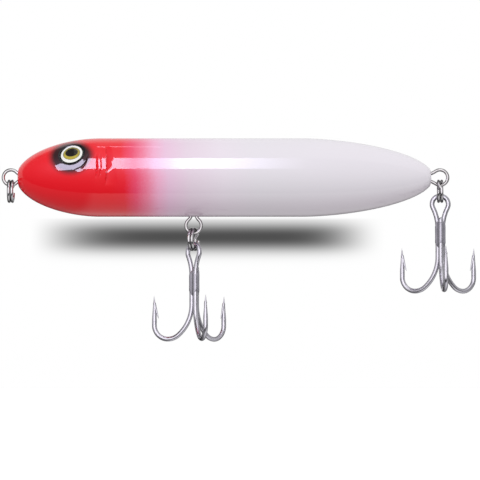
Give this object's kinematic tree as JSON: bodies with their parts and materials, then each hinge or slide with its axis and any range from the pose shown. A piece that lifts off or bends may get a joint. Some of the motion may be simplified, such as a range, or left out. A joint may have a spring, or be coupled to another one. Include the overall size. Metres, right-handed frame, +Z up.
{
  "type": "stickbait fishing lure",
  "caption": "Floating torpedo-shaped topwater lure with a red head, domed eyes, treble hooks on split rings and loose rattle balls inside.",
  "frame": {"origin": "centre of the line-tie loop in front of the nose, on the axis of the body", "axes": "+X from the nose to the tail along the body, +Z up towards the back of the lure, the lure's left side faces -Y"},
  "size_m": [0.1315, 0.0235, 0.0562],
  "materials": {
    "body_paint": "glossy pearl white with an airbrushed red head, clear coated",
    "hanger_wire": "bright nickel-plated wire",
    "ring_wire": "bright nickel-plated spring wire",
    "hook_wire": "satin tin-grey plated steel",
    "hook_braze": "satin brazing metal under the plating",
    "eye_foil": "printed foil with a silver rim, a gold ring and a dark pupil",
    "eye_lens": "clear glossy resin dome",
    "weight_steel": "polished bearing steel"
  },
  "bodies": {
    "lure_body": {"shell_left": "body_paint", "shell_right": "body_paint", "line_tie_hanger": "hanger_wire", "belly_hanger": "hanger_wire", "tail_hanger": "hanger_wire", "eye_foil_left": "eye_foil", "eye_foil_right": "eye_foil", "eye_dome_left": "eye_lens", "eye_dome_right": "eye_lens", "tail_ballast": "weight_steel"},
    "nose_ring": {"nose_split_ring": "ring_wire"},
    "belly_ring": {"belly_split_ring": "ring_wire"},
    "tail_ring": {"tail_split_ring": "ring_wire"},
    "belly_treble": {"belly_hook_double": "hook_wire", "belly_hook_single": "hook_wire", "belly_hook_braze": "hook_braze"},
    "tail_treble": {"tail_hook_double": "hook_wire", "tail_hook_single": "hook_wire", "tail_hook_braze": "hook_braze"},
    "front_rattle": {"front_rattle_ball": "weight_steel"},
    "rear_rattle": {"rear_rattle_ball": "weight_steel"}
  },
  "joints": [
    {"name": "nose_ring_turn", "type": "hinge", "parent": "lure_body", "child": "nose_ring", "pos_m": [0, 0, 0], "axis": [0, 1, 0], "range_deg": [-20, 200]},
    {"name": "belly_ring_swing", "type": "hinge", "parent": "lure_body", "child": "belly_ring", "pos_m": [0.0505, 0, -0.01542], "axis": [1, 0, 0], "range_deg": [-60, 60]},
    {"name": "belly_treble_swing", "type": "hinge", "parent": "belly_ring", "child": "belly_treble", "pos_m": [0.0505, 0, -0.02015], "axis": [0.309, 0.9511, 0], "range_deg": [-60, 60]},
    {"name": "tail_ring_swing", "type": "hinge", "parent": "lure_body", "child": "tail_ring", "pos_m": [0.1186, 0, -0.00212], "axis": [1, 0, 0], "range_deg": [-80, 80]},
    {"name": "tail_treble_swing", "type": "hinge", "parent": "tail_ring", "child": "tail_treble", "pos_m": [0.1186, 0, -0.00685], "axis": [0.0698, 0.9976, 0], "range_deg": [-90, 35]},
    {"name": "front_rattle_slide", "type": "slide", "parent": "lure_body", "child": "front_rattle", "axis": [1, 0, 0], "range_m": [-0.0058, 0.0058]},
    {"name": "rear_rattle_slide", "type": "slide", "parent": "lure_body", "child": "rear_rattle", "axis": [1, 0, 0], "range_m": [-0.0088, 0.0088]}
  ]
}
